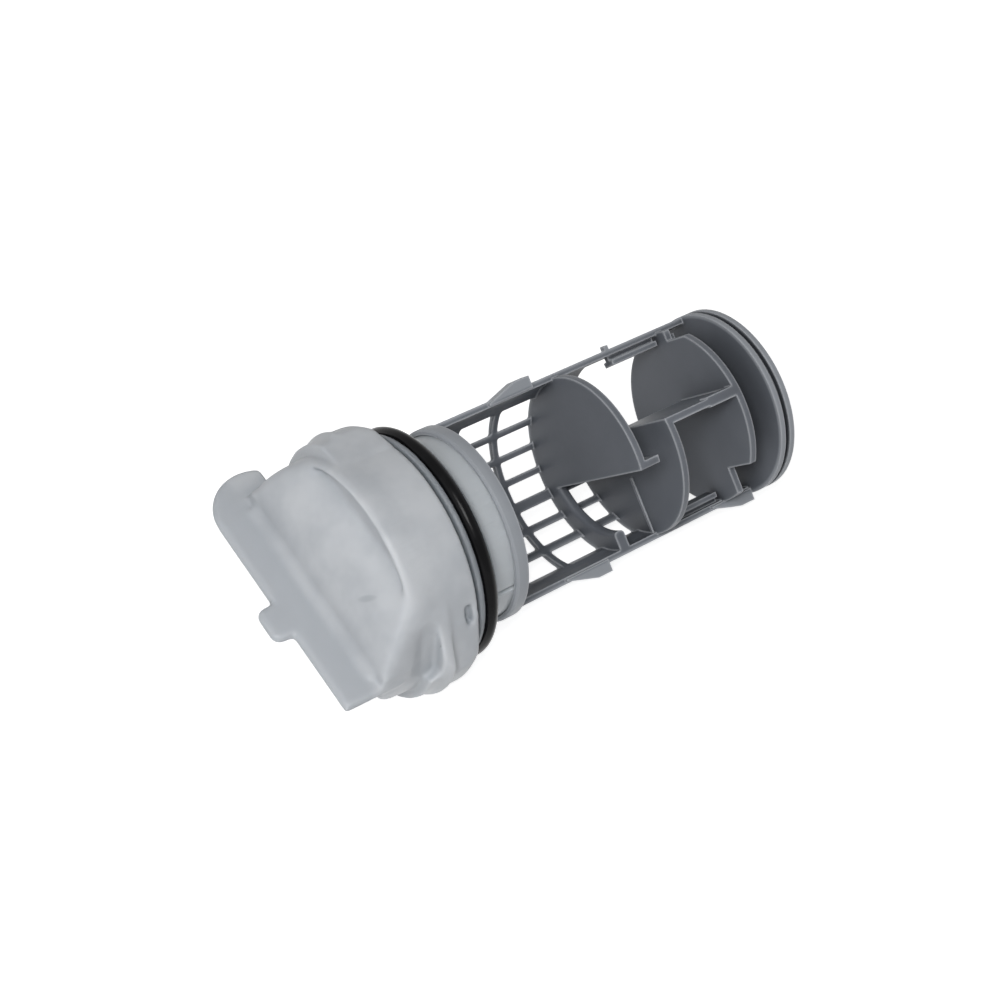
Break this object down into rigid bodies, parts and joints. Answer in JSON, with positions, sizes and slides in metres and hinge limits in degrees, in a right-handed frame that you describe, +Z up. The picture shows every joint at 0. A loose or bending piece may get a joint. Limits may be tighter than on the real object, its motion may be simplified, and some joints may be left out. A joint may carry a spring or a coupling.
{
  "type": "washing machine drain filter",
  "caption": "Drain pump filter with a milky turn grip cap, a black sealing ring and a grey half mesh basket with baffles and a grooved end plug.",
  "frame": {"origin": "on the common axis, in the middle plane of the sealing ring", "axes": "+X along the axis from the cap to the end plug, +Z up, the axis lies level and the open side of the basket faces -Y and up"},
  "size_m": [0.1468, 0.0702, 0.0612],
  "materials": {
    "cap_plastic": "milky moulded plastic with a soft gloss",
    "seal_rubber": "smooth black rubber",
    "basket_plastic": "satin grey moulded plastic"
  },
  "bodies": {
    "basket": {"filter_basket": "basket_plastic"},
    "cap": {"cap": "cap_plastic", "seal_ring": "seal_rubber"}
  },
  "joints": [
    {"name": "cap_swivel", "type": "hinge", "parent": "basket", "child": "cap", "pos_m": [0, 0, 0], "axis": [1, 0, 0], "continuous": true}
  ]
}
